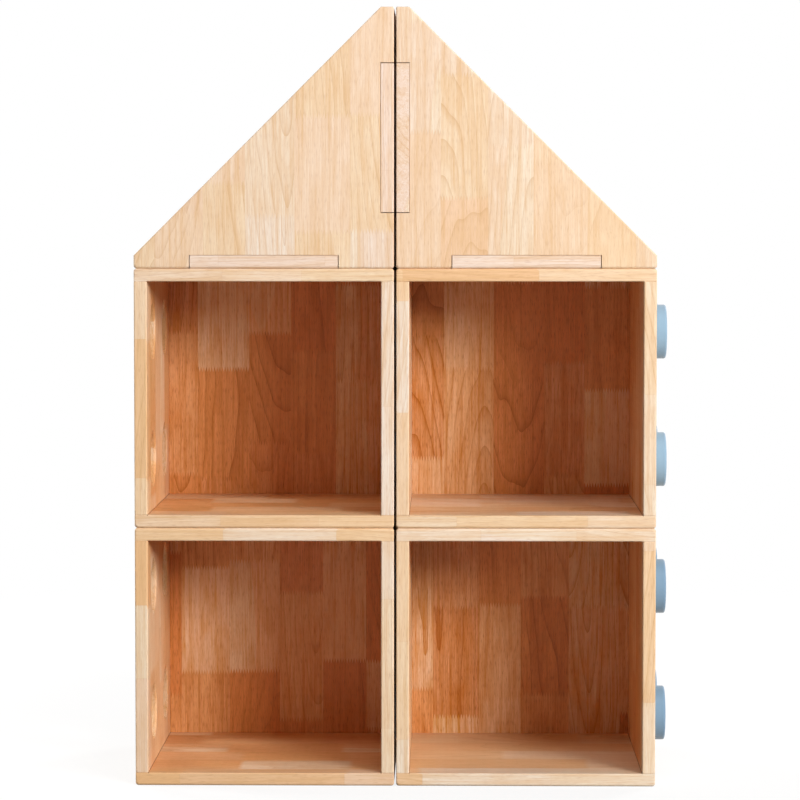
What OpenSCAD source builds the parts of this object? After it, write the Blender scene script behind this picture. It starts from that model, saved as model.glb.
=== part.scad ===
// House shaped bookcase for a child's room: four open cubes, two wide and two
// high, under a roof of two right-angled wedges that are open along their slope.
// Every module is a separate box of solid boards. A cube has four round studs
// on its right side and four round holes in its left side, so that cubes in a
// row plug into each other. The modules of a column rest face to face.
//
// Millimetres. X runs to the right, Y to the back and Z up. The origin lies on
// the floor under the middle of the whole bookcase, studs counted in.

/* [Modules] */
// Width of a cube or a roof wedge
module_w = 360; // [320:1:450]
// Depth of a cube or a roof wedge, front to back
module_d = 360; // [320:1:450]
// Height of a cube
cube_h = 360; // [320:1:450]
// Height of a roof wedge
roof_h = 360; // [300:1:450]
// Thickness of every board
board_t = 18; // [16:0.5:22]
// Gap between the left and the right column
column_gap = 3; // [1:0.5:6]

/* [Rounding] */
// Radius of the four long corners of a cube, and of a wedge's two lower ones
corner_r = 4; // [2:0.5:6]
// Radius along the other outer edges of a module
edge_r = 2; // [0.8:0.1:3]
// Radius along the front edge of a cube's opening
opening_r = 1.5; // [0.5:0.1:3]

/* [Studs and holes] */
// Diameter of a stud
stud_dia = 76; // [50:1:90]
// Distance between studs, front to back and low to high
stud_pitch = 180; // [150:1:190]
// Radius along the outer rim of a stud
stud_edge_r = 3; // [1:0.5:5]
// Clearance round a stud in its hole
stud_clear = 0.8; // [0.4:0.1:2]
// Radius along both rims of a hole
hole_rim_r = 3; // [1:0.5:5]

/* [Roof tabs] */
// Length of the tab that passes through a roof panel
tab_len = 205; // [120:1:230]
// Clearance between the long side of a tab and its notch
tab_clear = 0.4; // [0.2:0.1:0.9]
// Clearance past each end of a tab in its notch
tab_end_clear = 0.8; // [0.2:0.1:0.9]

/* [Dowels] */
// Diameter of a dowel
dowel_dia = 8; // [6:1:10]
// Depth of a dowel in the face of a board
dowel_face_depth = 12; // [8:1:13]
// Depth of a dowel in the end of a board
dowel_end_depth = 24; // [15:1:30]
// Depth of a dowel in a stud
dowel_stud_depth = 13; // [8:0.5:14]
// Distance from the front or back of a cube to its outer corner dowels
dowel_margin = 60; // [40:1:80]
// Distance between the two dowels along each edge of a back panel
panel_dowel_pitch = 160; // [80:1:200]
// Distance between the two dowels of a stud
stud_dowel_pitch = 36; // [20:1:36]
// Clearance round a dowel in its bore
dowel_clear = 0.1; // [0.05:0.05:0.2]
// Free depth past the end of a dowel
dowel_end_play = 0.5; // [0.3:0.1:1]

/* [Hidden] */
$fn = 64;
// How far a cutting tool runs past the face that it cuts
over = 1;

// A stud stands as proud as a board is thick, and so fills the next cube's wall
stud_proud = board_t;
stud_r = stud_dia / 2;
hole_r = stud_r + stud_clear;

overall_w = 2 * module_w + column_gap + stud_proud;

// How far the roof's slope runs across and up, and its angle and length
slope_w = module_w - board_t;
slope_h = roof_h - board_t;
slope_angle = atan2(slope_h, slope_w);
slope_len = norm([slope_w, slope_h]);
// Where a tab starts along the base, and where it starts up the upright
base_tab_x = (module_w - tab_len) / 2;
upright_tab_z = (roof_h - tab_len) / 2;

// Places along a board: the ends of a pair about the middle of a length
function pair(length, pitch) = [length / 2 - pitch / 2, length / 2 + pitch / 2];
stud_ys = pair(module_d, stud_pitch);
stud_zs = pair(cube_h, stud_pitch);
corner_dowel_ys = [dowel_margin, module_d / 2, module_d - dowel_margin];
panel_dowel_xs = pair(module_w, panel_dowel_pitch);
panel_dowel_zs = pair(cube_h, panel_dowel_pitch);
// Inner faces of the far boards
right_x = module_w - board_t;
panel_y = module_d - board_t;
top_z = cube_h - board_t;

// Cubes by name, with their column from the left and their level from the floor
CUBES = [
    ["lower_left", 0, 0],
    ["lower_right", 1, 0],
    ["upper_left", 0, 1],
    ["upper_right", 1, 1],
];
// Studs of a cube by name, with their place front to back and low to high
STUDS = [
    ["front_low", 0, 0],
    ["front_high", 0, 1],
    ["back_low", 1, 0],
    ["back_high", 1, 1],
];
// Roof wedges by name, with their column
ROOFS = [["roof_left", 0], ["roof_right", 1]];
CUBE_PIECES = [
    "top_board", "bottom_board", "stud_side", "hole_side", "back_panel",
    "board_dowels", "stud_dowels",
];
ROOF_PIECES = ["front_panel", "back_panel", "base_board", "upright_board", "dowels"];

WOOD = "#e6c79f";
END_WOOD = "#dcb88f";
DOWEL_WOOD = "#c9a270";
BLUE = "#6aa9c8";

// ---- Outlines ----

// What a round-over of radius r takes off a corner at the origin
module corner_waste(r) {
    difference() {
        translate([-r, -r]) square(2 * r);
        translate([r, r]) circle(r);
    }
}

// A rectangle from the origin with a radius for each corner, anticlockwise
module soft_outline(size, radii) {
    corners = [[0, 0], [size.x, 0], [size.x, size.y], [0, size.y]];
    difference() {
        square(size);
        for (i = [0:3])
            if (radii[i] > 0)
                translate(corners[i]) rotate(90 * i) corner_waste(radii[i]);
    }
}

function all_round(r) = [r, r, r, r];

// Extrusions from the origin along each axis: along Y it draws an X-Z outline,
// along X a Y-Z outline
module extrude_y(length) {
    translate([0, length, 0]) rotate([90, 0, 0]) linear_extrude(length) children();
}
module extrude_x(length) {
    rotate([90, 0, 90]) linear_extrude(length) children();
}

// A block from the origin whose edges are rounded over along X, Y and Z. The
// radii are those of its outlines seen from the front, the side and above.
module soft_block(size, front_radii, side_radii, plan_radii) {
    intersection() {
        extrude_y(size.y) soft_outline([size.x, size.z], front_radii);
        extrude_x(size.x) soft_outline([size.y, size.z], side_radii);
        linear_extrude(size.z) soft_outline([size.x, size.y], plan_radii);
    }
}

// A box between two opposite corners
module span(low, high) {
    translate(low) cube(high - low);
}

// ---- Dowels and their bores ----

// A dowel along Z whose origin lies on the joint: it goes back_depth into the
// first piece and fore_depth into the second. With a clearance round it and play
// past both its ends it is the bore that it sits in.
module dowel(back_depth, fore_depth, clear = 0, play = 0) {
    translate([0, 0, -back_depth - play])
        cylinder(d = dowel_dia + 2 * clear, h = back_depth + fore_depth + 2 * play);
}

module bore(back_depth, fore_depth) {
    dowel(back_depth, fore_depth, dowel_clear, dowel_end_play);
}

// Puts its children, drawn along +Z, on every corner joint of a cube, from the
// face of the top or bottom board into the end of a side board
module at_corner_dowels() {
    for (x = [board_t / 2, module_w - board_t / 2])
        for (y = corner_dowel_ys) {
            translate([x, y, board_t]) children();
            translate([x, y, top_z]) rotate([180, 0, 0]) children();
        }
}

// Puts its children, drawn along +Z, on every joint of a cube's back panel, from
// the face of the board round it into the panel's edge
module at_panel_dowels() {
    y = panel_y + board_t / 2;
    for (x = panel_dowel_xs) {
        translate([x, y, board_t]) children();
        translate([x, y, top_z]) rotate([180, 0, 0]) children();
    }
    for (z = panel_dowel_zs) {
        translate([board_t, y, z]) rotate([0, 90, 0]) children();
        translate([right_x, y, z]) rotate([0, -90, 0]) children();
    }
}

// Puts its children, drawn along +Z, on the dowels of all four studs
module at_stud_dowels() {
    for (y = stud_ys) for (z = stud_zs)
        translate([module_w, y, z]) rotate([0, 90, 0]) at_one_stud_dowels() children();
}

module at_one_stud_dowels() {
    for (side = [-1, 1]) translate([side * stud_dowel_pitch / 2, 0, 0]) children();
}

module board_bores() {
    at_corner_dowels() bore(dowel_face_depth, dowel_end_depth);
    at_panel_dowels() bore(dowel_face_depth, dowel_end_depth);
}

// ---- Pieces of a cube, drawn from its lower left front corner ----

// The four boards of a cube as one ring. Its edges are rounded over after it is
// glued up, so that the rounding runs on across the joints.
module cube_ring() {
    difference() {
        soft_block(
            [module_w, module_d, cube_h],
            all_round(corner_r), all_round(edge_r), all_round(edge_r));
        intersection() {
            linear_extrude(cube_h) opening_outline(module_w);
            extrude_x(module_w) mirror([1, -1]) opening_outline(cube_h);
        }
    }
}

// The opening between two boards a width apart, drawn with depth along Y. It
// flares at the front, where the edges of the boards are rounded over.
module opening_outline(width) {
    translate([board_t, -over]) square([width - 2 * board_t, module_d + 2 * over]);
    translate([board_t, 0]) mirror([1, 0]) corner_waste(opening_r);
    translate([width - board_t, 0]) corner_waste(opening_r);
}

module bottom_board() {
    color(WOOD) difference() {
        intersection() {
            cube_ring();
            span([-over, -over, -over], [module_w + over, module_d + over, board_t]);
        }
        board_bores();
    }
}

module top_board() {
    color(WOOD) difference() {
        intersection() {
            cube_ring();
            span([-over, -over, top_z], [module_w + over, module_d + over, cube_h + over]);
        }
        board_bores();
    }
}

module side_board(low_x, high_x) {
    intersection() {
        cube_ring();
        span([low_x, -over, board_t], [high_x, module_d + over, top_z]);
    }
}

// The right side, with the studs glued and dowelled to its outer face
module stud_side() {
    color(WOOD) difference() {
        side_board(right_x, module_w + over);
        board_bores();
        at_stud_dowels() bore(dowel_face_depth, dowel_stud_depth);
    }
}

// The left side, with a rounded rim on both faces of every hole
module hole_side() {
    color(WOOD) difference() {
        side_board(-over, board_t);
        board_bores();
        for (y = stud_ys) for (z = stud_zs)
            translate([0, y, z]) rotate([0, 90, 0]) rotate_extrude() hole_profile();
    }
}

// Half of what a hole takes out of a board, seen along the board
module hole_profile() {
    translate([0, -over]) square([hole_r, board_t + 2 * over]);
    translate([hole_r, 0]) corner_waste(hole_rim_r);
    translate([hole_r, board_t]) mirror([0, 1]) corner_waste(hole_rim_r);
}

module back_panel() {
    color(WOOD) difference() {
        span([board_t, panel_y, board_t], [right_x, module_d, top_z]);
        board_bores();
    }
}

module board_dowels() {
    color(DOWEL_WOOD) {
        at_corner_dowels() dowel(dowel_face_depth, dowel_end_depth);
        at_panel_dowels() dowel(dowel_face_depth, dowel_end_depth);
    }
}

module stud_dowels() {
    color(DOWEL_WOOD) at_stud_dowels() dowel(dowel_face_depth, dowel_stud_depth);
}

// One turned stud against the outside of the right side
module stud(y, z) {
    color(BLUE) translate([module_w, y, z]) rotate([0, 90, 0]) difference() {
        rotate_extrude() difference() {
            square([stud_r, stud_proud]);
            translate([stud_r, stud_proud]) rotate(180) corner_waste(stud_edge_r);
        }
        at_one_stud_dowels() bore(dowel_face_depth, dowel_stud_depth);
    }
}

// ---- Pieces of a roof wedge, drawn with its tip at the left ----

// The square block that a wedge is cut from
module wedge_block() {
    soft_block(
        [module_w, module_d, roof_h],
        [corner_r, corner_r, edge_r, 0],
        all_round(edge_r), all_round(edge_r));
}

// A thick slab under the slope, with its two long edges rounded over. It cuts a
// panel to a triangle whose two sharp tips stay square, as wide as the ends of
// the boards behind them.
module slope_slab() {
    translate([0, 0, board_t]) rotate([0, 90 - slope_angle, 0])
        translate([0, 0, -board_t])
            linear_extrude(slope_len + 2 * board_t)
                soft_outline([slope_len, board_t], [edge_r, 0, 0, edge_r]);
}

module wedge_panel() {
    difference() {
        intersection() {
            wedge_block();
            span([-over, -over, -over], [module_w + over, board_t, roof_h + over]);
            slope_slab();
        }
        span(
            [base_tab_x - tab_end_clear, -over, -over],
            [base_tab_x + tab_len + tab_end_clear, board_t + over, board_t + tab_clear]);
        span(
            [slope_w - tab_clear, -over, upright_tab_z - tab_end_clear],
            [module_w + over, board_t + over, upright_tab_z + tab_len + tab_end_clear]);
    }
}

module roof_front_panel() {
    color(WOOD) wedge_panel();
}

module roof_back_panel() {
    color(WOOD) translate([0, module_d, 0]) mirror([0, 1, 0]) wedge_panel();
}

// Puts its children, drawn along +Z, on the joint of the base and the upright
module at_roof_dowels() {
    for (y = corner_dowel_ys) translate([slope_w + board_t / 2, y, board_t]) children();
}

// The floor of the wedge, with a tab through each panel
module roof_base_board() {
    color(END_WOOD) difference() {
        intersection() {
            wedge_block();
            union() {
                span([-over, board_t, -over], [module_w + over, panel_y, board_t]);
                span([base_tab_x, -over, -over], [base_tab_x + tab_len, module_d + over, board_t]);
            }
        }
        at_roof_dowels() bore(dowel_face_depth, dowel_end_depth);
    }
}

// The upright back of the wedge, standing on its base
module roof_upright_board() {
    color(END_WOOD) difference() {
        intersection() {
            wedge_block();
            union() {
                span([slope_w, board_t, board_t], [module_w + over, panel_y, roof_h + over]);
                span(
                    [slope_w, -over, upright_tab_z],
                    [module_w + over, module_d + over, upright_tab_z + tab_len]);
            }
        }
        at_roof_dowels() bore(dowel_face_depth, dowel_end_depth);
    }
}

module roof_dowels() {
    color(DOWEL_WOOD) at_roof_dowels() dowel(dowel_face_depth, dowel_end_depth);
}

// ---- The bookcase ----

function module_place(column, level) = [
    -overall_w / 2 + column * (module_w + column_gap),
    -module_d / 2,
    level * cube_h,
];

for (cube = CUBES) {
    name = cube[0];
    translate(module_place(cube[1], cube[2])) {
        top_board();
        bottom_board();
        stud_side();
        hole_side();
        back_panel();
        board_dowels();
        stud_dowels();
        for (s = STUDS)
            stud(stud_ys[s[1]], stud_zs[s[2]]);
    }
}

// The right wedge is the left one turned to face it
for (roof = ROOFS) {
    name = roof[0];
    turned = roof[1] == 1;
    translate(module_place(roof[1], 2))
        translate([turned ? module_w : 0, 0, 0]) mirror([turned ? 1 : 0, 0, 0]) {
            roof_front_panel();
            roof_back_panel();
            roof_base_board();
            roof_upright_board();
            roof_dowels();
        }
}
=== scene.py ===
# A house shaped bookcase of solid pale wood: four open cubes under two roof wedges, with round
# blue studs that plug the cubes of a row together. Every board is a closed skin worked out from
# its outline, and takes its place from the frame. Metres, +X right, +Y back, +Z up.
import math

import bpy
import numpy as np
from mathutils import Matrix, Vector
from mathutils.geometry import delaunay_2d_cdt


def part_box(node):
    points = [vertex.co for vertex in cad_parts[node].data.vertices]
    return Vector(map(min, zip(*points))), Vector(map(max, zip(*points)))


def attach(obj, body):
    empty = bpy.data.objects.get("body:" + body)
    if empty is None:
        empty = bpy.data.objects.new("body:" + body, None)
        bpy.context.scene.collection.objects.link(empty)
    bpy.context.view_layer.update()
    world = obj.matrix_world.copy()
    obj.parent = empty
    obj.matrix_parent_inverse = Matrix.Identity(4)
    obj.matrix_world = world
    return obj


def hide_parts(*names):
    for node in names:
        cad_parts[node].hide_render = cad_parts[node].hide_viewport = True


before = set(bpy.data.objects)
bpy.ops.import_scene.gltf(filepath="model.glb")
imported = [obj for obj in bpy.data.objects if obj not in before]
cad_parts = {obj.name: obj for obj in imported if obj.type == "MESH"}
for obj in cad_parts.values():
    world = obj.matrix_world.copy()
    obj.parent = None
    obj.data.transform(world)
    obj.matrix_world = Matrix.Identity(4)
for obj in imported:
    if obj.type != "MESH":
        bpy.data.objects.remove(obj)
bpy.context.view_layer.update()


# ---- Clear lacquered boards ----
# Pale hardwood, glued up from staves side by side, each stave from short blocks that are finger
# jointed end to end, then planed, rounded over along its arrises and given a satin clear lacquer.

# The glued-up sheet. Looseness is how uneven the staves or blocks are in size, and a stave is
# shifted along itself by up to STAVE_SHIFT against its neighbour
STAVE_WIDTH = 0.068
STAVE_LOOSENESS = 0.3
STAVE_SHIFT = 9.0
BLOCK_LENGTH = 0.165
BLOCK_LOOSENESS = 0.85
FINGER_PITCH = 0.004
FINGER_LENGTH = 0.008
FINGER_SLOPE = 2 * FINGER_LENGTH / FINGER_PITCH
GLUE_LINE = 0.00016

# Where the pith lines of the blocks run: how widely they are spread beside and below the blocks,
# the least depth of one, and how widely their slopes are spread sideways and downwards
PITH_BESIDE = 0.10
PITH_BELOW = 0.10
PITH_LEAST_BELOW = 0.012
PITH_LEAN = 0.10
PITH_DIVE = 0.32

# The growth rings, the broader bands among them, and the core round the pith, which is paler in
# the blocks whose random number is above CORE_IN_BLOCKS. The rings waver by WARP_LEAST or more, and
# a plain block shows PLAIN_SHARE of the figure
RING_WIDTH = 0.0085
RING_SHARPNESS = 8.0
BAND_WIDTH = 0.012
BAND_SHIFT = 40.0
CORE_LEAST = 0.03
CORE_SPREAD = 0.05
CORE_BLUR = 0.0004
CORE_IN_BLOCKS = 0.6
WARP_LEAST = 0.005
WARP_SPREAD = 0.010
FIGURED_SPAN = (0.3, 0.8)
PLAIN_SHARE = 0.15

# The size of each layer's lumps along, across and through the board
WARP_LUMP = (0.17, 0.032, 0.032)
STREAK_LUMP = (0.17, 0.0038, 0.0038)
MOTTLE_LUMP = (0.055, 0.017, 0.017)
FIBRE_LUMP = (0.05, 0.0013, 0.0013)
PORE_LUMP = (0.011, 0.0009, 0.0009)

# The span of its noise over which each layer comes in
BAND_SPAN = (0.42, 0.68)
STREAK_SPAN = (0.47, 0.68)
MOTTLE_SPAN = (0.48, 0.66)
FIBRE_SPAN = (0.38, 0.78)
PORE_SPAN = (0.53, 0.75)

# How far each layer goes towards its colour at its strongest
GLUE_DEPTH = 0.10
RING_DEPTH = 0.46
BAND_DEPTH = 0.32
CORE_DEPTH = 0.70
STREAK_DEPTH = 0.40
MOTTLE_DEPTH = 0.26
FIBRE_DEPTH = 0.55
PORE_DEPTH = 0.30
BLOCK_BLUSH = 0.5

# The tones of the blocks, from the palest to the most golden, with the places of the middle two
PALE = (0.90, 0.80, 0.69, 1)
CREAM_PLACE = 0.25
CREAM = (0.89, 0.71, 0.50, 1)
HONEY_PLACE = 0.65
HONEY = (0.89, 0.62, 0.36, 1)
TAN = (0.84, 0.48, 0.21, 1)
ROSE = (0.88, 0.72, 0.62, 1)
PALE_CORE = (0.89, 0.77, 0.61, 1)
STREAK_BROWN = (0.72, 0.43, 0.20, 1)
RING_BROWN = (0.58, 0.31, 0.12, 1)
PORE_BROWN = (0.46, 0.21, 0.10, 1)
GLUE_AND_GAP_SHADE_BROWN = (0.12, 0.04, 0.015, 1)

# The painted shade inside a compartment, which makes the wood darker, redder and more figured there,
# as the shade deep in a compartment does: from where to where, front to back, it comes in, where
# it ends, its tint, how much deeper and more figured it makes the wood, and how unevenly
PAINTED_SHADE_SPAN = (-0.178, -0.12)
PAINTED_SHADE_END = 0.163
PAINTED_SHADE_TINT = (1.04, 0.86, 0.72, 1)
PAINTED_SHADE_GAMMA = 0.32
PAINTED_SHADE_UNEVEN = 2.6
PAINTED_SHADE_FIGURE = 0.9

# The lacquer's gloss, and the relief of the grain under it
ROUGHNESS = 0.38
FIBRE_ROUGHNESS = 0.12
PORE_ROUGHNESS = 0.2
SPECULAR_LEVEL = 0.25
COAT_WEIGHT = 0.15
COAT_ROUGHNESS = 0.24
PORE_SINK = 0.6
RELIEF = 0.00012
RELIEF_STRENGTH = 0.35


def new_finish(name):
    """A new material, its node tree and its shader."""
    material = bpy.data.materials.new(name)
    material.use_nodes = True
    return material, material.node_tree, material.node_tree.nodes["Principled BSDF"]


def add(tree, kind, feeds=None, **settings):
    """A shader node with its settings. Each feed is a number, or the socket that it comes from."""
    node = tree.nodes.new("ShaderNode" + kind)
    for key, value in settings.items():
        setattr(node, key, value)
    for key, value in (feeds or {}).items():
        if isinstance(value, bpy.types.NodeSocket):
            tree.links.new(value, node.inputs[key])
        else:
            node.inputs[key].default_value = value
    return node


def maths(tree, operation, *values):
    """One Math node's result, from numbers or sockets."""
    return add(tree, "Math", dict(enumerate(values)), operation=operation).outputs[0]


def attribute(tree, name):
    """The number that the mesh carries under a name."""
    return add(tree, "Attribute", attribute_name=name).outputs["Fac"]


def blend_colour(tree, share, low, high, **settings):
    """The colour that lies a share of the way from low to high."""
    mix = add(tree, "Mix", data_type="RGBA", **settings)
    for index, value in ((0, share), (6, low), (7, high)):
        if isinstance(value, bpy.types.NodeSocket):
            tree.links.new(value, mix.inputs[index])
        else:
            mix.inputs[index].default_value = value
    return mix.outputs[2]


def cells(tree, place, size, looseness):
    """Cells along a line: three random numbers and a middle for each, and the distance to the next."""
    feeds = {"W": place, "Scale": 1 / size, "Randomness": looseness}
    cell = add(tree, "TexVoronoi", feeds, voronoi_dimensions="1D")
    edge = add(tree, "TexVoronoi", feeds, voronoi_dimensions="1D", feature="DISTANCE_TO_EDGE")
    gap = maths(tree, "MULTIPLY", edge.outputs["Distance"], size)
    return add(tree, "SeparateColor", {0: cell.outputs["Color"]}).outputs, cell.outputs["W"], gap


def stretched_noise(tree, place, lump, **feeds):
    """Noise of about 0 to 1 at a place along, across and through the board, with lumps that size."""
    scaled = [maths(tree, "DIVIDE", socket, size) for socket, size in zip(place, lump)]
    vector = add(tree, "CombineXYZ", dict(enumerate(scaled))).outputs[0]
    return add(tree, "TexNoise", {"Vector": vector, "Scale": 1.0, **feeds}).outputs[0]


def part_way(tree, value, span, top=1.0):
    """How far a value has come along a span, from 0 to top, and no further either way."""
    return add(tree, "MapRange", {0: value, 1: span[0], 2: span[1], 3: 0.0, 4: top}).outputs[0]


def spread(tree, number, width, middle=0.0):
    """A random number from 0 to 1 turned into one within width/2 of the middle, either way."""
    return maths(tree, "MULTIPLY_ADD", maths(tree, "SUBTRACT", number, 0.5), width, middle)


def blocks_of_staves(tree, along, across):
    """The glued-up sheet: the random numbers of the stave and of the block, the place along the
    stave, how far it is from the block's middle along and across, and 1 on a line of glue. A zigzag
    across each stave gives its blocks their fingers."""
    stave, stave_middle, stave_gap = cells(tree, across, STAVE_WIDTH, STAVE_LOOSENESS)
    tooth = maths(tree, "MULTIPLY", maths(tree, "PINGPONG", across, FINGER_PITCH / 2), FINGER_SLOPE)
    shifted = maths(tree, "MULTIPLY_ADD", stave[0], STAVE_SHIFT, along)
    toothed = maths(tree, "ADD", shifted, tooth)
    block, block_middle, block_gap = cells(tree, toothed, BLOCK_LENGTH, BLOCK_LOOSENESS)
    from_middle = maths(tree, "SUBTRACT", shifted, block_middle)
    beside = maths(tree, "SUBTRACT", across, stave_middle)
    glue = maths(tree, "MAXIMUM", maths(tree, "LESS_THAN", stave_gap, GLUE_LINE), maths(
        tree, "LESS_THAN", block_gap, GLUE_LINE * FINGER_SLOPE))
    return stave, block, shifted, from_middle, beside, glue


def growth(tree, stave, block, in_stave, from_middle, beside):
    """How strongly the rings, the broader bands and the pale core show.

    All three lie by the distance from the pith, the line that the tree grew round. Each block has
    that line somewhere beside and below it, at x and y, so the distance is sqrt(x^2 + y^2), and it
    wavers. Some blocks are strongly figured, and the rest nearly plain.
    """
    beside = spread(tree, block[0], PITH_BESIDE, beside)
    beside = maths(tree, "MULTIPLY_ADD", spread(tree, block[2], PITH_LEAN), from_middle, beside)
    below = maths(tree, "ADD", in_stave[2], PITH_LEAST_BELOW)
    below = maths(tree, "MULTIPLY_ADD", block[1], PITH_BELOW, below)
    below = maths(tree, "MULTIPLY_ADD", spread(tree, stave[1], PITH_DIVE), from_middle, below)
    radius = maths(tree, "SQRT", maths(
        tree, "ADD", maths(tree, "MULTIPLY", beside, beside), maths(tree, "MULTIPLY", below, below)))
    warp = stretched_noise(tree, in_stave, WARP_LUMP, Detail=1.0)
    waver = maths(tree, "MULTIPLY_ADD", block[2], WARP_SPREAD, WARP_LEAST)
    radius = maths(tree, "MULTIPLY_ADD", warp, waver, radius)

    figured = part_way(tree, block[2], FIGURED_SPAN)
    figured = maths(tree, "MULTIPLY_ADD", figured, 1 - PLAIN_SHARE, PLAIN_SHARE)
    ring = maths(tree, "FRACT", maths(tree, "DIVIDE", radius, RING_WIDTH))
    ring = maths(tree, "MULTIPLY", maths(tree, "POWER", ring, RING_SHARPNESS), figured)
    ring = maths(tree, "MULTIPLY", ring, RING_DEPTH)
    band_place = maths(tree, "DIVIDE", radius, BAND_WIDTH)
    band_place = maths(tree, "MULTIPLY_ADD", block[1], BAND_SHIFT, band_place)
    feeds = {"W": band_place, "Scale": 1.0, "Detail": 3.0}
    band = add(tree, "TexNoise", feeds, noise_dimensions="1D").outputs[0]
    band = maths(tree, "MULTIPLY", part_way(tree, band, BAND_SPAN, BAND_DEPTH), figured)
    core_edge = maths(tree, "MULTIPLY_ADD", stave[2], CORE_SPREAD, CORE_LEAST)
    core = part_way(tree, maths(tree, "SUBTRACT", core_edge, radius), (-CORE_BLUR, CORE_BLUR), CORE_DEPTH)
    core = maths(tree, "MULTIPLY", core, maths(tree, "GREATER_THAN", block[0], CORE_IN_BLOCKS))
    return ring, band, core


def block_tone(tree, block):
    """The plain colour of each block. The attributes "gold" and "blush" are how golden and how rosy
    the whole board is."""
    tone = add(tree, "ValToRGB", {0: maths(tree, "ADD", block[1], attribute(tree, "gold"))})
    stops = tone.color_ramp.elements
    stops[0].color, stops[1].color = PALE, TAN
    stops.new(CREAM_PLACE).color = CREAM
    stops.new(HONEY_PLACE).color = HONEY
    rosy = maths(tree, "MULTIPLY", block[0], block[0])
    rosy = maths(tree, "MULTIPLY_ADD", rosy, BLOCK_BLUSH, attribute(tree, "blush"))
    return blend_colour(tree, rosy, tone.outputs[0], ROSE)


def with_painted_shade(tree, colour, plain, block):
    """The colour with painted shade inside the compartments: darker, redder and more figured there,
    as the shade in a compartment makes it, and unevenly from block to block. The attribute "inside"
    says how far a face looks into a compartment."""
    back = add(tree, "SeparateXYZ", {0: add(tree, "TexCoord").outputs["Object"]}).outputs["Y"]
    # Painted shade: its share rises over the front few centimetres of a compartment, and stops short of
    # the back face
    painted_shade = maths(tree, "MULTIPLY", attribute(tree, "inside"), part_way(tree, back, PAINTED_SHADE_SPAN))
    painted_shade = maths(tree, "MULTIPLY", painted_shade, maths(tree, "LESS_THAN", back, PAINTED_SHADE_END))
    stronger = maths(tree, "MULTIPLY_ADD", painted_shade, PAINTED_SHADE_FIGURE, 1.0)
    colour = blend_colour(tree, stronger, plain, colour, clamp_factor=False, clamp_result=True)
    shade_by_block = spread(tree, block[1], PAINTED_SHADE_UNEVEN, 1.0)
    deeper = maths(tree, "MULTIPLY_ADD", maths(tree, "MULTIPLY", painted_shade, shade_by_block), PAINTED_SHADE_GAMMA, 1.0)
    colour = add(tree, "Gamma", {0: colour, 1: deeper}).outputs[0]
    return blend_colour(tree, painted_shade, colour, PAINTED_SHADE_TINT, blend_type="MULTIPLY")


def clear_wood():
    """The boards' finish. The attribute "grain" is a place along, across and through the board,
    and "seam" is 1 along the dark line in an inner corner where two boards meet: a line of glue,
    with the shadow of the gap painted along it."""
    material, tree, shader = new_finish("clear_wood")
    grain = add(tree, "Attribute", attribute_name="grain").outputs["Vector"]
    in_board = add(tree, "SeparateXYZ", {0: grain}).outputs
    along, across, through = in_board
    stave, block, shifted, from_middle, beside, glue = blocks_of_staves(tree, along, across)
    in_stave = (shifted, across, through)
    ring, band, core = growth(tree, stave, block, in_stave, from_middle, beside)
    streak = stretched_noise(tree, in_stave, STREAK_LUMP, Detail=2.5)
    mottle = stretched_noise(tree, in_stave, MOTTLE_LUMP, Detail=3.0)
    fibre = stretched_noise(tree, in_board, FIBRE_LUMP, Detail=2.5, Roughness=0.6)
    pore = part_way(tree, stretched_noise(tree, in_board, PORE_LUMP, Detail=1.5), PORE_SPAN)

    plain = block_tone(tree, block)
    colour = blend_colour(tree, core, plain, PALE_CORE)
    for share, brown in (
            (band, STREAK_BROWN),
            (part_way(tree, streak, STREAK_SPAN, STREAK_DEPTH), STREAK_BROWN),
            (part_way(tree, mottle, MOTTLE_SPAN, MOTTLE_DEPTH), STREAK_BROWN),
            (ring, RING_BROWN),
            (part_way(tree, fibre, FIBRE_SPAN, FIBRE_DEPTH), STREAK_BROWN),
            (maths(tree, "MULTIPLY", pore, PORE_DEPTH), PORE_BROWN),
            (maths(tree, "MULTIPLY", glue, GLUE_DEPTH), RING_BROWN)):
        colour = blend_colour(tree, share, colour, brown)
    # Painted shade inside the compartments
    colour = with_painted_shade(tree, colour, plain, block)
    # A dark line of glue in the inner corners, with the shadow of the gap painted along it
    colour = blend_colour(tree, attribute(tree, "seam"), colour, GLUE_AND_GAP_SHADE_BROWN)
    tree.links.new(colour, shader.inputs["Base Color"])

    rough = maths(tree, "MULTIPLY_ADD", fibre, FIBRE_ROUGHNESS, ROUGHNESS)
    rough = maths(tree, "MULTIPLY_ADD", pore, PORE_ROUGHNESS, rough)
    tree.links.new(rough, shader.inputs["Roughness"])
    shader.inputs["Specular IOR Level"].default_value = SPECULAR_LEVEL
    shader.inputs["Coat Weight"].default_value = COAT_WEIGHT
    shader.inputs["Coat Roughness"].default_value = COAT_ROUGHNESS
    relief = maths(tree, "MULTIPLY_ADD", pore, -PORE_SINK, fibre)
    bump = add(tree, "Bump", {"Strength": RELIEF_STRENGTH, "Distance": RELIEF, "Height": relief})
    tree.links.new(bump.outputs[0], shader.inputs["Normal"])
    return material


CLEAR_WOOD = clear_wood()

# Radii along the edges: the four long corners of a module, its outer edges above and below, its
# upright outer edges, the front edge of an opening, the arris that a plane leaves on a board
# where it meets the next one, and the wider ones on the ends and at the inner foot of the side
# boards, which show as fine dark lines; and how far the dark line in a corner, a line of glue
# with the shadow of the gap painted along it, spreads on the board below it
CORNER_R = 0.004
LEVEL_R = 0.0036
EDGE_R = 0.002
OPENING_R = 0.002
JOINT_R = 0.0005
GROOVE_R = 0.0009
FOOT_R = 0.0012
SEAM_HALF = 0.0018
STEPS_ROUND_CORNER = 7
STEPS_ROUND_RIM = 6
STEPS_ROUND_HOLE = 96
# A corner whose two sides are this nearly in line is taken as a point on a straight side, and
# points of a face that lie this close together as one
STRAIGHT_COSINE = 0.9999
CAP_TOLERANCE = 1e-7


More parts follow.
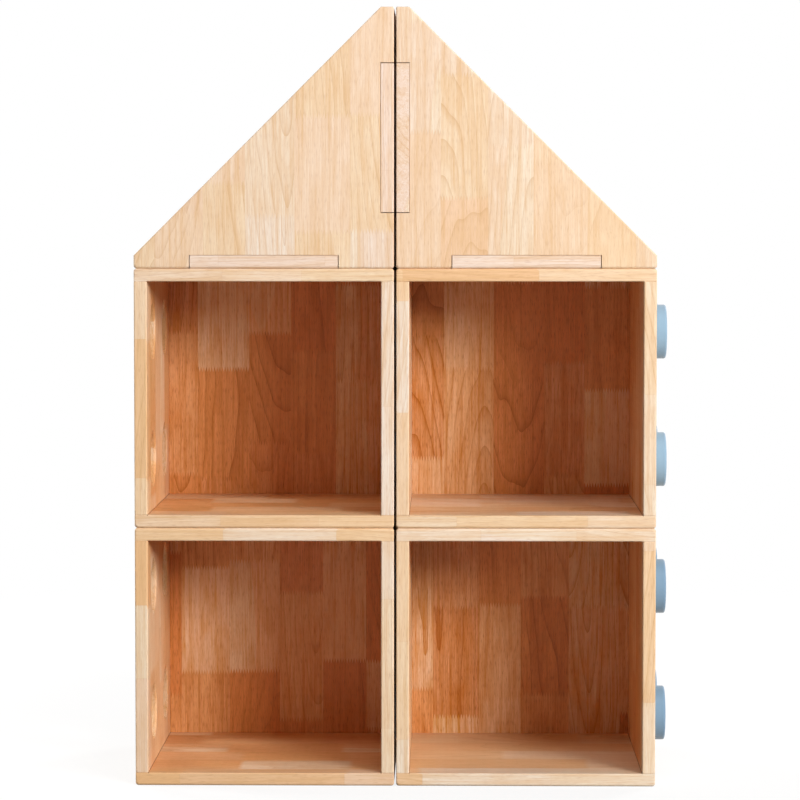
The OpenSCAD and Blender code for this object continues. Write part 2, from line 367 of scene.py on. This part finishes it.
def rounded_outline(corners, corner_r, rims):
    """A board's outline with its corners rounded: its points and their outward normals, and for
    each face the way that the rim draws a point in, and the radius of the rim there.

    A corner is a conic of weight cos(half its turn) between the points where a circle touches its
    two sides, so it is that circle. With u and v the unit vectors along the sides before and after
    it, and p and q the radii of the rims on them, a corner is drawn in along their mitre, by
    (p v - q u) / (u cross v). On a straight side it is drawn in square to the side.
    """
    corners, corner_r = np.array(corners, float)[:, None], np.array(corner_r, float)[:, None, None]
    before = corners - np.roll(corners, 1, 0)
    before /= np.linalg.norm(before, axis=2, keepdims=True)
    after = np.roll(before, -1, 0)
    inward_before, inward_after = (np.stack([-u[..., 1], u[..., 0]], 2) for u in (before, after))
    cosine = (before * after).sum(2, keepdims=True)
    sine = -(before * inward_after).sum(2, keepdims=True)
    straight = cosine > STRAIGHT_COSINE
    s = np.linspace(0, 1, STEPS_ROUND_CORNER)[:, None]

    touch = corner_r * np.where(straight, 1.0, np.sqrt((1 - cosine) / (1 + cosine)))
    first, middle, last = (1 - s) ** 2, 2 * s * (1 - s) * np.sqrt((1 + cosine) / 2), s ** 2
    points = first * (corners - before * touch) + middle * corners + last * (corners + after * touch)
    points /= first + middle + last
    normals = -((1 - s) * inward_before + s * inward_after)
    normals /= np.linalg.norm(normals, axis=2, keepdims=True)

    rim_after = np.array(rims, float)[:, :, None, None]
    rim_before = np.roll(rim_after, 1, 1)
    rim = (1 - s) * rim_before + s * rim_after
    mitre = (rim_before * after - rim_after * before) / np.where(straight, 1.0, sine)
    draw = np.where(straight, inward_before * rim, mitre)
    return points.reshape(-1, 2), normals.reshape(-1, 2), draw.reshape(2, -1, 2), rim.reshape(2, -1)


def hole_outline(middle, radius, rim_r):
    """A round hole, as the same four things. It runs clockwise, and its rims draw a point outwards."""
    angle = np.linspace(0, 2 * math.pi, STEPS_ROUND_HOLE, endpoint=False)
    spoke = np.stack([np.cos(angle), -np.sin(angle)], 1)
    rim = np.full((2, STEPS_ROUND_HOLE), rim_r)
    return middle + radius * spoke, -spoke, np.stack([rim_r * spoke] * 2), rim


def stack_of_rings(points, normals, draw, rim, depth):
    """The rings that carry an outline from the first face to the second, and the normals on them.

    At angle t of a rim the ring is drawn in by (1 - cos t) of the whole way, and it lies
    (1 - sin t) of the rim's radius from the face.
    """
    quarter = np.linspace(math.pi / 2, 0, STEPS_ROUND_RIM)
    t = np.concatenate([quarter, quarter[::-1]])[:, None]
    face = np.repeat([0, 1], STEPS_ROUND_RIM)
    flat = points + (1 - np.cos(t))[..., None] * draw[face]
    below = (1 - np.sin(t)) * rim[face]
    height = np.where(face[:, None] == 0, below, depth - below)
    side = np.cos(t)[..., None] * normals
    rise = np.broadcast_to(np.sin(t) * (2 * face[:, None] - 1), height.shape)
    return np.dstack([flat, height]), np.dstack([side, rise])


def quads_round(index):
    """Quads from each ring of vertices to the next one, all the way round."""
    near, far = index[:-1], index[1:]
    return np.stack([near, np.roll(near, -1, 1), np.roll(far, -1, 1), far], 2).reshape(-1, 4).tolist()


def skin(stacks):
    """The faces of a closed skin: quads from ring to ring round each stack, and on either end
    triangles that fill the first stack's last ring, apart from the rings of the holes in it."""
    points = np.concatenate([rings.reshape(-1, 3) for rings in stacks])
    faces, ends, start = [], ([], []), 0
    for rings in stacks:
        index = start + np.arange(rings[..., 0].size).reshape(rings.shape[:2])
        faces += quads_round(index)
        ends[0].append(index[0])
        ends[1].append(index[-1])
        start += index.size
    for loops, order in zip(ends, (-1, 1)):
        loop = np.concatenate(loops)
        owner = np.repeat(np.arange(len(loops)), [len(ids) for ids in loops])
        edges = []
        for number in range(len(loops)):
            place = np.flatnonzero(owner == number)
            edges += np.stack([place, np.roll(place, -1)], 1).tolist()
        flat = [Vector(point) for point in points[loop, :2].tolist()]
        cap = delaunay_2d_cdt(flat, edges, [], 2, CAP_TOLERANCE)
        for triangle in cap[2]:
            ids = [cap[3][vertex][0] for vertex in triangle]
            in_a_hole = min(owner[ids]) == max(owner[ids]) > 0
            if not in_a_hole:
                faces.append(loop[ids[::order]].tolist())
    return faces


def smooth_piece(name, points, faces, normals, material, **attributes):
    """A piece from its vertices, faces and normals. Each attribute is a number or a vector for
    every vertex, or one number for all of them."""
    mesh = bpy.data.meshes.new(name)
    mesh.from_pydata(points.tolist(), [], faces)
    for key, values in attributes.items():
        kind, field = ("FLOAT_VECTOR", "vector") if np.ndim(values) == 2 else ("FLOAT", "value")
        each = np.ravel(values) if np.ndim(values) else np.full(len(points), values)
        mesh.attributes.new(key, kind, "POINT").data.foreach_set(field, each.astype(float))
    mesh.materials.append(material)
    mesh.shade_smooth()
    mesh.normals_split_custom_set_from_vertices(normals.tolist())
    piece = bpy.data.objects.new(name, mesh)
    bpy.context.scene.collection.objects.link(piece)
    return piece


def board(
        name, corners, corner_r, rims, depth, axes, origin, signs, grain, cut, inside,
        blush=0.0, gold=0.0, holes=(), seams=()):
    """A board as one closed skin: its rounded outline, carried as a stack of rings from face to
    face. A hole is such a stack too, turned outside in.

    corners is the outline, anticlockwise, and corner_r the radius at each. rims gives the radius
    of the rim on each side, on the first face and on the second. axes are where the outline's two
    coordinates and the depth lie, and origin and signs set the board in its place. grain names the
    axes along, across and through it, and cut is the place in the glued-up sheet that it is cut
    from. inside says for the first face and for the second, or for each corner of them, how far it
    looks into a compartment, and so how much painted shade it takes. holes gives the middle, radius
    and rim of each hole, and seams the corners at which a joint with another board leaves a dark
    line: a line of glue, with the shadow of the gap painted along it.
    """
    outlines = [rounded_outline(corners, corner_r, rims)] + [hole_outline(*hole) for hole in holes]
    stacks, slopes = zip(*(stack_of_rings(*outline, depth) for outline in outlines))
    faces = skin(stacks)
    points = np.concatenate([part.reshape(-1, 3) for part in stacks])
    normals = np.concatenate([part.reshape(-1, 3) for part in slopes])

    # How much painted shade each ring takes, face by face
    looks_in = [[np.repeat(np.broadcast_to(face, len(corners)), STEPS_ROUND_CORNER) for face in inside]]
    looks_in += [[np.full(STEPS_ROUND_HOLE, face) for face in inside] for hole in holes]
    looks_in = np.concatenate([np.repeat(part, STEPS_ROUND_RIM, 0).ravel() for part in looks_in])
    # The dark line of glue at the seam corners, with the shadow of the gap painted along it
    glue_and_gap_shade = [np.zeros(rings.shape[:2]) for rings in stacks]
    for corner in seams:
        glue_and_gap_shade[0][1:-1, corner * STEPS_ROUND_CORNER + STEPS_ROUND_CORNER // 2] = 1.0
    glue_and_gap_shade = np.concatenate([part.ravel() for part in glue_and_gap_shade])

    in_sheet = np.zeros_like(points)
    in_sheet[:, [grain.index(axis) for axis in axes]] = points - (points.min(0) + points.max(0)) / 2
    in_sheet[:, :2] += cut
    placed, facing = np.zeros_like(points), np.zeros_like(normals)
    placed[:, list(axes)] = points
    facing[:, list(axes)] = normals
    inside_out = np.linalg.det(np.eye(3)[list(axes)]) * np.prod(signs) < 0
    if inside_out:
        faces = [face[::-1] for face in faces]
    return smooth_piece(
        name, np.array(origin, float) + placed * signs, faces, facing * signs, CLEAR_WOOD,
        grain=in_sheet, blush=blush, gold=gold, inside=looks_in, seam=glue_and_gap_shade)


def stands_for(piece, node, body):
    """The piece takes the place of a CAD node and moves with that node's body."""
    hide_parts(node)
    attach(piece, body)


# ---- The five boards of each cube ----
# The top and bottom boards run over the ends of the side boards, and the back panel fills the
# space between all four. The left side has four holes, each with both rims rounded over. The
# boards are dowelled and glued, so their joints show only as hairlines.

CUBES = ["lower_left", "lower_right", "upper_left", "upper_right"]
# How golden each cube's bottom, top, hole side, stud side and back came out
GOLD = {
    "lower_left": (1.00, 0.15, 0.20, -0.35, 0.20),
    "lower_right": (0.05, -0.80, 0.00, -0.15, 0.05),
    "upper_left": (0.30, -0.30, 0.12, -0.75, 0.22),
    "upper_right": (-0.40, 0.00, -0.20, -0.40, 0.15)}
CUBE_BLUSH = 0.12
STUDS = ["front_low", "front_high", "back_low", "back_high"]
# How much painted shade lies on the inside of the bottom board and hole side, which the lamp lights, and
# of the others, which lie in shade
LIT_BOARD_PAINTED_SHADE = 0.42
SHADED_BOARD_PAINTED_SHADE = 0.75
# The cube whose bottom board takes no painted shade inside
UNSHADED_FLOOR = "lower_right"
HOLE_R = 0.0388
HOLE_RIM_R = 0.003
# Where in the sheet the first board is cut, and how far on the next. Each module has ten numbers
FIRST_CUT = (0.21, 0.05)
NEXT_CUT = (1.37, 0.713)
CUTS_PER_MODULE = 10
X, Y, Z = 0, 1, 2


def cut_from(number):
    """The place, along and across, in the glued-up sheet that a board of that number is cut from."""
    return NEXT_CUT[0] * number + FIRST_CUT[0], NEXT_CUT[1] * number + FIRST_CUT[1]


for place, cube in enumerate(CUBES):
    first_cut = CUTS_PER_MODULE * place
    low = np.array(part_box(f"{cube}_bottom_board")[0])
    high = np.array(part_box(f"{cube}_top_board")[1])
    width, deep, tall = high - low
    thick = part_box(f"{cube}_bottom_board")[1].z - low[Z]
    inner = tall - 2 * thick

    lying = [(0, 0), (width, 0), (width, thick), (width - thick, thick), (thick, thick), (0, thick)]
    lying_r = [CORNER_R, CORNER_R, JOINT_R, SEAM_HALF, SEAM_HALF, JOINT_R]
    front_rim = [LEVEL_R, EDGE_R, JOINT_R, OPENING_R, JOINT_R, EDGE_R]
    back_rim = [LEVEL_R, EDGE_R, JOINT_R, JOINT_R, JOINT_R, EDGE_R]
    floor_inside = 0 if cube == UNSHADED_FLOOR else LIT_BOARD_PAINTED_SHADE
    faces = (("bottom", low[Z], 1, floor_inside), ("top", high[Z], -1, SHADED_BOARD_PAINTED_SHADE))
    for number, (part, origin_z, way, looks_in) in enumerate(faces):
        piece = board(
            f"{cube}_{part}_of_staves", lying, lying_r, (front_rim, back_rim), deep, (X, Z, Y),
            (low[X], low[Y], origin_z), (1, 1, way), (X, Y, Z), cut_from(first_cut + number),
            ([0, 0, 0, looks_in, looks_in, 0],) * 2, CUBE_BLUSH, GOLD[cube][number],
            seams=(3, 4) if part == "bottom" else ())
        stands_for(piece, f"{cube}_{part}_board", cube)

    standing = [(0, 0), (deep, 0), (deep, inner), (0, inner)]
    outer_rim = [GROOVE_R, EDGE_R, GROOVE_R, EDGE_R]
    inner_rim = [FOOT_R, JOINT_R, GROOVE_R, OPENING_R]
    sides = (("hole", low[X], 1, LIT_BOARD_PAINTED_SHADE), ("stud", high[X], -1, SHADED_BOARD_PAINTED_SHADE))
    for number, (part, origin_x, way, looks_in) in enumerate(sides):
        holes = []
        if part == "hole":
            for stud in STUDS:
                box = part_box(f"{cube}_stud_{stud}")
                middle = (box[0] + box[1]) / 2
                holes.append(((middle.y - low[Y], middle.z - low[Z] - thick), HOLE_R, HOLE_RIM_R))
        piece = board(
            f"{cube}_{part}_side_of_staves", standing, [GROOVE_R] * 4, (outer_rim, inner_rim), thick,
            (Y, Z, X), (origin_x, low[Y], low[Z] + thick), (way, 1, 1), (Z, Y, X),
            cut_from(first_cut + number + 2), (0, looks_in), CUBE_BLUSH, GOLD[cube][number + 2], holes)
        stands_for(piece, f"{cube}_{part}_side", cube)

    panel = [(0, 0), (width - 2 * thick, 0), (width - 2 * thick, inner), (0, inner)]
    piece = board(
        f"{cube}_back_of_staves", panel, [JOINT_R] * 4, ([JOINT_R] * 4, [JOINT_R] * 4), thick,
        (X, Z, Y), (low[X] + thick, high[Y] - thick, low[Z] + thick), (1, 1, 1), (Z, X, Y),
        cut_from(first_cut + 4), (1, 0), CUBE_BLUSH, GOLD[cube][4])
    stands_for(piece, f"{cube}_back_panel", cube)


# ---- The studs ----
# Four round studs on the right side of each cube, turned from wood, with a soft rim, and sprayed
# a satin sky blue. Two hidden dowels and glue hold each one.

# The cubes whose studs are darkened with painted shade
SHADED_STUD_CUBES = ["lower_left", "lower_right"]
STUD_RIM_R = 0.003
STUD_FOOT_R = 0.0003
STEPS_ROUND_STUD = 128
STEPS_ROUND_EDGE = 10
# The paint, its colour where it is thinner, and the painted shade that the studs of the lower cubes are
# multiplied by
SKY_BLUE = (0.245, 0.381, 0.506, 1)
SKY_BLUE_THIN = (0.268, 0.403, 0.528, 1)
LOWER_STUD_SHADE = (0.69, 0.74, 0.80, 1)
# How fine its clouds and its peel are, the relief of the peel, and the gloss
CLOUD_SCALE = 60.0
PEEL_SCALE = 900.0
PEEL_ROUGHNESS = 0.1
PEEL_RELIEF = 0.00008
PEEL_STRENGTH = 0.25
PAINT_ROUGHNESS = 0.36
PAINT_COAT = 0.25
PAINT_COAT_ROUGHNESS = 0.2


def blue_paint():
    """Sprayed satin paint: an even colour, faintly thinner in places, with a fine orange peel. The
    studs of the lower cubes carry an attribute of 1, which darkens them with painted shade."""
    material, tree, shader = new_finish("blue_paint")
    place = add(tree, "TexCoord").outputs["Object"]
    cloud = add(tree, "TexNoise", {"Vector": place, "Scale": CLOUD_SCALE, "Detail": 3.0}).outputs[0]
    colour = blend_colour(tree, cloud, SKY_BLUE, SKY_BLUE_THIN)
    # Painted shade on the studs of the lower cubes
    colour = blend_colour(tree, attribute(tree, "coat"), colour, LOWER_STUD_SHADE, blend_type="MULTIPLY")
    tree.links.new(colour, shader.inputs["Base Color"])
    peel = add(tree, "TexNoise", {"Vector": place, "Scale": PEEL_SCALE, "Detail": 2.0}).outputs[0]
    rough = maths(tree, "MULTIPLY_ADD", peel, PEEL_ROUGHNESS, PAINT_ROUGHNESS)
    tree.links.new(rough, shader.inputs["Roughness"])
    bump = add(tree, "Bump", {"Strength": PEEL_STRENGTH, "Distance": PEEL_RELIEF, "Height": peel})
    tree.links.new(bump.outputs[0], shader.inputs["Normal"])
    shader.inputs["Coat Weight"].default_value = PAINT_COAT
    shader.inputs["Coat Roughness"].default_value = PAINT_COAT_ROUGHNESS
    return material


BLUE_PAINT = blue_paint()


def turned_stud(name, low, high, coat):
    """A stud as a profile turned about its own axis, which lies along X.

    The profile runs up the side from the foot. Each of its two edges is a quarter round: at angle
    t it lies r(1 - cos t) inside the side and r(1 - sin t) short of the face.
    """
    radius, proud = (high[Y] - low[Y]) / 2, high[X] - low[X]
    t = np.linspace(math.pi / 2, 0, STEPS_ROUND_EDGE)
    out = np.concatenate([
        radius - STUD_FOOT_R * (1 - np.cos(t)), radius - STUD_RIM_R * (1 - np.cos(t[::-1]))])
    up = np.concatenate([
        STUD_FOOT_R * (1 - np.sin(t)), proud - STUD_RIM_R * (1 - np.sin(t[::-1]))])
    lean = np.concatenate([-np.sin(t), np.sin(t[::-1])])
    angle = np.linspace(0, 2 * math.pi, STEPS_ROUND_STUD, endpoint=False)
    spoke = np.stack([np.zeros_like(angle), np.cos(angle), np.sin(angle)], 1)
    foot = np.array([low[X], (low[Y] + high[Y]) / 2, (low[Z] + high[Z]) / 2])
    axis = np.array([1.0, 0.0, 0.0])
    points = foot + out[:, None, None] * spoke + up[:, None, None] * axis
    normals = np.sqrt(1 - lean ** 2)[:, None, None] * spoke + lean[:, None, None] * axis
    index = np.arange(points[..., 0].size).reshape(points.shape[:2])
    ends = [index[0][::-1].tolist(), index[-1].tolist()]
    return smooth_piece(
        name, points.reshape(-1, 3), quads_round(index) + ends, normals.reshape(-1, 3), BLUE_PAINT,
        coat=coat)


for cube in CUBES:
    for stud in STUDS:
        node = f"{cube}_stud_{stud}"
        piece = turned_stud(f"{cube}_painted_{stud}", *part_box(node), cube in SHADED_STUD_CUBES)
        stands_for(piece, node, cube)


# ---- The roof wedges ----
# Each wedge is a base board and an upright board at its back, between two three-cornered panels.
# A long tab on either end of both boards passes through the panels and shows flush on their
# faces. The slope is left open, so the wedge is a bin. The right wedge faces the left one.

TAB_LENGTH = 0.205
TAB_CLEAR = 0.0006
TAB_END_CLEAR = 0.0010
TIP_R = 0.001
# How much painted shade lies inside each roof bin
BIN_PAINTED_SHADE = 0.25
PANEL_BLUSH = 0.17
PANEL_GOLD = -0.05
TAB_BLUSH = 0.85
# The number of the first wedge's first cut in the sheet, past those of the cubes
ROOF_CUTS = 50

for place, (roof, way) in enumerate((("roof_left", 1), ("roof_right", -1))):
    first_cut = ROOF_CUTS + CUTS_PER_MODULE * place
    low, high = (np.array(corner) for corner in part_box(f"{roof}_front_panel"))
    width, thick, tall = high - low
    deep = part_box(f"{roof}_back_panel")[1].y - low[Y]
    tip_x = low[X] if way == 1 else high[X]
    tab_x = (width - TAB_LENGTH) / 2
    tab_z = (tall - TAB_LENGTH) / 2

    notch_x = (tab_x - TAB_END_CLEAR, tab_x + TAB_LENGTH + TAB_END_CLEAR)
    notch_z = (tab_z - TAB_END_CLEAR, tab_z + TAB_LENGTH + TAB_END_CLEAR)
    notch_top, notch_side = thick + TAB_CLEAR, width - thick - TAB_CLEAR
    outline = [
        (0, 0), (notch_x[0], 0), (notch_x[0], notch_top), (notch_x[1], notch_top), (notch_x[1], 0),
        (width, 0), (width, notch_z[0]), (notch_side, notch_z[0]), (notch_side, notch_z[1]),
        (width, notch_z[1]), (width, tall), (width - thick, tall), (0, thick)]
    outline_r = [CORNER_R] + [JOINT_R] * 4 + [CORNER_R] + [JOINT_R] * 4 + [EDGE_R, TIP_R, TIP_R]
    face_rim = [
        LEVEL_R, JOINT_R, JOINT_R, JOINT_R, LEVEL_R,
        EDGE_R, JOINT_R, JOINT_R, JOINT_R,
        EDGE_R, EDGE_R, EDGE_R, EDGE_R]
    hidden_rim = [JOINT_R] * 10 + [JOINT_R, EDGE_R, JOINT_R]
    for number, (part, origin_y, back) in enumerate((("front", low[Y], 1), ("back", low[Y] + deep, -1))):
        piece = board(
            f"{roof}_{part}_of_staves", outline, outline_r, (face_rim, hidden_rim), thick,
            (X, Z, Y), (tip_x, origin_y, low[Z]), (way, back, 1), (Z, X, Y),
            cut_from(first_cut + number), (0, BIN_PAINTED_SHADE), PANEL_BLUSH, PANEL_GOLD)
        stands_for(piece, f"{roof}_{part}_panel", roof)

    base = [
        (0, thick), (tab_x, thick), (tab_x, 0), (tab_x + TAB_LENGTH, 0), (tab_x + TAB_LENGTH, thick),
        (width, thick), (width, deep - thick), (tab_x + TAB_LENGTH, deep - thick),
        (tab_x + TAB_LENGTH, deep), (tab_x, deep), (tab_x, deep - thick), (0, deep - thick)]
    under_rim = [JOINT_R, JOINT_R, LEVEL_R, JOINT_R, JOINT_R, CORNER_R]
    upper_rim = [JOINT_R] * 11 + [TIP_R]
    piece = board(
        f"{roof}_base_of_staves", base, [JOINT_R] * 12, (under_rim * 2, upper_rim), thick,
        (X, Y, Z), (tip_x, low[Y], low[Z]), (way, 1, 1), (X, Y, Z),
        cut_from(first_cut + 2), (0, BIN_PAINTED_SHADE), TAB_BLUSH)
    stands_for(piece, f"{roof}_base_board", roof)

    upright = [
        (thick, thick), (deep - thick, thick), (deep - thick, tab_z), (deep, tab_z),
        (deep, tab_z + TAB_LENGTH), (deep - thick, tab_z + TAB_LENGTH), (deep - thick, tall),
        (thick, tall), (thick, tab_z + TAB_LENGTH), (0, tab_z + TAB_LENGTH), (0, tab_z),
        (thick, tab_z)]
    bin_rim = [JOINT_R] * 6 + [TIP_R] + [JOINT_R] * 5
    outer_rim = [JOINT_R] * 3 + [EDGE_R] + [JOINT_R] * 2 + [EDGE_R] + [JOINT_R] * 2 + [EDGE_R]
    piece = board(
        f"{roof}_upright_of_staves", upright, [JOINT_R] * 12, (bin_rim, outer_rim + [JOINT_R] * 2),
        thick, (Y, Z, X), (tip_x + way * (width - thick), low[Y], low[Z]), (way, 1, 1),
        (Z, Y, X) if way == 1 else (Y, Z, X), cut_from(first_cut + 3), (BIN_PAINTED_SHADE, 0), TAB_BLUSH)
    stands_for(piece, f"{roof}_upright_board", roof)


# ---- The dowels ----
# Plain beech pegs, glued into blind bores across every joint. They stay out of sight, as the
# frame draws them.

BEECH = (0.62, 0.42, 0.24, 1)
BEECH_FLECK = (0.46, 0.29, 0.15, 1)
FLECK_SCALE = 800.0
BEECH_ROUGHNESS = 0.7


def dowel_wood():
    """Unfinished beech: even, with fine darker flecks."""
    material, tree, shader = new_finish("dowel_wood")
    place = add(tree, "TexCoord").outputs["Object"]
    fleck = add(tree, "TexNoise", {"Vector": place, "Scale": FLECK_SCALE, "Detail": 2.0}).outputs[0]
    tree.links.new(blend_colour(tree, fleck, BEECH, BEECH_FLECK), shader.inputs["Base Color"])
    shader.inputs["Roughness"].default_value = BEECH_ROUGHNESS
    return material


DOWEL_WOOD = dowel_wood()
for name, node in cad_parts.items():
    if name.endswith("dowels"):
        node.data.materials.clear()
        node.data.materials.append(DOWEL_WOOD)


# ---- Floor, lamps and camera ----
# A white studio: a pale floor that fades into a white background and keeps the shadow, one large
# soft lamp at the front right, weaker ones round about, and the camera a little right of centre.

WHITE = (1, 1, 1, 1)
FLOOR_HALF = 30.0
FLOOR_GLOW = 0.82
FLOOR_GREY = (0.20, 0.20, 0.20, 1)
FADE_SPAN = (0.9, 2.2)
SKY_STRENGTH = 0.02
# The camera, fitted to measured points of the real bookcase. Sensor and lens are in millimetres,
# the shift is a share of the sensor, and tilt and turn are in degrees
SENSOR_WIDTH = 36.0
LENS = 140.394
LENS_SHIFT = -0.03
CAMERA_PLACE = (0.065, -4.4879, 0.7856)
CAMERA_TILT = 87.155
CAMERA_TURN = 0.892


def seen(tree):
    """1 for a ray from the camera, off a glossy surface or through a clear one, else 0."""
    path = add(tree, "LightPath").outputs
    direct = maths(tree, "MAXIMUM", path["Is Camera Ray"], path["Is Glossy Ray"])
    return maths(tree, "MAXIMUM", direct, path["Is Transmission Ray"])


floor_mesh = bpy.data.meshes.new("floor")
around = ((-1, -1), (1, -1), (1, 1), (-1, 1))
floor_mesh.from_pydata([(FLOOR_HALF * x, FLOOR_HALF * y, 0) for x, y in around], [], [(0, 1, 2, 3)])
floor = bpy.data.objects.new("floor", floor_mesh)
bpy.context.scene.collection.objects.link(floor)
floor_paint, tree, unused = new_finish("floor_paint")
tree.nodes.remove(unused)
grey = add(tree, "BsdfDiffuse", {"Color": FLOOR_GREY}).outputs[0]
glow = add(tree, "Emission", {"Color": WHITE, "Strength": FLOOR_GLOW}).outputs[0]
near_white = add(tree, "AddShader", {0: glow, 1: grey}).outputs[0]
far_white = add(tree, "Emission", {"Color": WHITE, "Strength": 1.0}).outputs[0]
away = add(tree, "VectorMath", {0: add(tree, "TexCoord").outputs["Object"]}, operation="LENGTH")
fade = part_way(tree, away.outputs["Value"], FADE_SPAN)
white = add(tree, "MixShader", {0: fade, 1: near_white, 2: far_white}).outputs[0]
mix = add(tree, "MixShader", {0: seen(tree), 1: grey, 2: white}).outputs[0]
tree.links.new(mix, tree.nodes["Material Output"].inputs["Surface"])
floor_mesh.materials.append(floor_paint)

world = bpy.data.worlds.new("studio")
world.use_nodes = True
tree = world.node_tree
tree.nodes["Background"].inputs["Color"].default_value = WHITE
strength = maths(tree, "MAXIMUM", seen(tree), SKY_STRENGTH)
tree.links.new(strength, tree.nodes["Background"].inputs["Strength"])
bpy.context.scene.world = world


def lamp(name, place, target, width, height, power):
    """A soft box of that size at place, turned to face target. It leaves no mirror image of itself,
    which would bleach a lacquered top seen at a low angle. The gloss shows the white studio."""
    data = bpy.data.lights.new(name, "AREA")
    data.shape, data.size, data.size_y, data.energy = "RECTANGLE", width, height, power
    light = bpy.data.objects.new(name, data)
    light.location = place
    light.visible_camera = False
    light.visible_glossy = False
    way = Vector(target) - Vector(place)
    light.rotation_euler = way.to_track_quat("-Z", "Y").to_euler()
    bpy.context.scene.collection.objects.link(light)


lamp("key", place=(4.38, -4.54, 2.15), target=(0, 0, 0.60), width=2.2, height=1.6, power=326)
lamp("key_near", place=(3.22, -5.42, 2.15), target=(0, 0, 0.60), width=1.3, height=1.6, power=142)
lamp("above", place=(0.2, -2.2, 3.3), target=(0, 0, 0.90), width=1.4, height=1.0, power=30)
lamp("left", place=(-3.6, 0.8, 1.6), target=(0, 0, 0.55), width=1.2, height=1.4, power=86)
lamp("behind_right", place=(2.6, 3.0, 2.0), target=(0, 0, 0.55), width=1.4, height=1.4, power=84)
lamp("behind_left", place=(-2.6, 3.0, 2.0), target=(0, 0, 0.55), width=1.4, height=1.4, power=68)

camera = bpy.data.objects.new("camera", bpy.data.cameras.new("camera"))
camera.data.sensor_width = SENSOR_WIDTH
camera.data.lens = LENS
camera.data.shift_y = LENS_SHIFT
camera.location = CAMERA_PLACE
camera.rotation_euler = (math.radians(CAMERA_TILT), 0.0, math.radians(CAMERA_TURN))
bpy.context.scene.collection.objects.link(camera)
bpy.context.scene.camera = camera
bpy.context.scene.view_settings.view_transform = "Standard"

bpy.context.view_layer.update()
